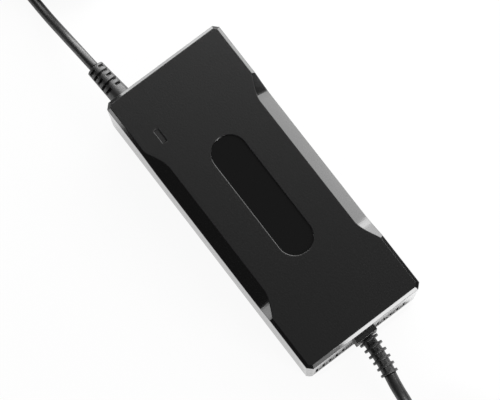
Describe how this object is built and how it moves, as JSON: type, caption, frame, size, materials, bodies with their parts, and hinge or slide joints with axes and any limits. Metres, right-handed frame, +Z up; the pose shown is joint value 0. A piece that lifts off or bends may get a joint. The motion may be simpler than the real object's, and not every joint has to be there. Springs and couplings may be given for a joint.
{
  "type": "lithium iron phosphate battery charger",
  "caption": "Black brick-shaped charger for a lithium iron phosphate battery, with scooped long edges, end vents, and captive mains and output leads that end in plugs.",
  "frame": {"origin": "centre of the underside of the case", "axes": "+X along the case towards the mains lead, +Y across it, +Z up"},
  "size_m": [0.5541, 0.0786, 0.042],
  "materials": {
    "case_plastic": "fine matte texture",
    "window_plastic": "clear, diffusing",
    "led_red_resin": "tinted resin",
    "led_green_resin": "tinted resin",
    "black_nylon": "moulded",
    "board_laminate": "solder mask",
    "insulating_film": "translucent film",
    "fuse_glass": "clear tube",
    "tinned_steel": "tinned",
    "thermistor_coat": "dipped",
    "yellow_box": "potted box",
    "blue_coat": "dipped",
    "green_ferrite": "epoxy coated",
    "yellow_iron_powder": "painted",
    "enamelled_copper": "enamelled wire",
    "black_epoxy": "moulded",
    "black_sleeve": "shrink sleeve",
    "blue_sleeve": "shrink sleeve",
    "aluminium_plate": "mill finish",
    "silicone_pad": "thin sheet",
    "ferrite": "sintered",
    "yellow_tape": "wound tape",
    "white_epoxy": "moulded",
    "wire_brown_pvc": "insulation",
    "wire_red_pvc": "insulation",
    "relief_pvc": "moulded, flexible",
    "cord_pvc": "satin sheath",
    "tie_nylon": "satin",
    "plug_pvc": "moulded",
    "nickel_plate": "plated brass"
  },
  "bodies": {
    "root": {"upper_shell": "case_plastic", "lower_shell": "case_plastic", "indicator_window": "window_plastic", "red_led": "led_red_resin", "green_led": "led_green_resin", "led_spacer": "black_nylon", "main_board": "board_laminate", "insulating_sheet": "insulating_film", "mains_fuse": "fuse_glass", "fuse_clips": "tinned_steel", "inrush_thermistor": "thermistor_coat", "x_capacitor": "yellow_box", "y_capacitor": "blue_coat", "filter_choke_core": "green_ferrite", "filter_choke_windings": "enamelled_copper", "bridge_rectifier": "black_epoxy", "bulk_capacitor": "black_sleeve", "primary_heat_sink": "aluminium_plate", "power_transistor": "black_epoxy", "transformer_core": "ferrite", "transformer_bobbin": "black_nylon", "transformer_winding": "yellow_tape", "secondary_heat_sink": "aluminium_plate", "output_diode": "black_epoxy", "insulating_pads": "silicone_pad", "heat_sink_screws": "tinned_steel", "output_capacitors": "blue_sleeve", "output_choke_core": "yellow_iron_powder", "output_choke_winding": "enamelled_copper", "control_chip": "black_epoxy", "optocoupler": "white_epoxy", "mains_wires": "wire_brown_pvc", "output_wires": "wire_red_pvc", "board_screws": "tinned_steel", "case_screws": "tinned_steel", "mains_strain_relief": "relief_pvc", "output_strain_relief": "relief_pvc", "mains_cord": "cord_pvc", "mains_cord_coil": "cord_pvc", "mains_cord_tail": "cord_pvc", "mains_coil_ties": "tie_nylon", "mains_plug_body": "plug_pvc", "mains_plug_pins": "nickel_plate", "mains_pin_sleeves": "plug_pvc", "output_cord": "cord_pvc", "output_cord_coil": "cord_pvc", "output_cord_tail": "cord_pvc", "output_coil_ties": "tie_nylon", "output_plug_body": "plug_pvc", "output_plug_barrel": "nickel_plate"}
  },
  "joints": []
}
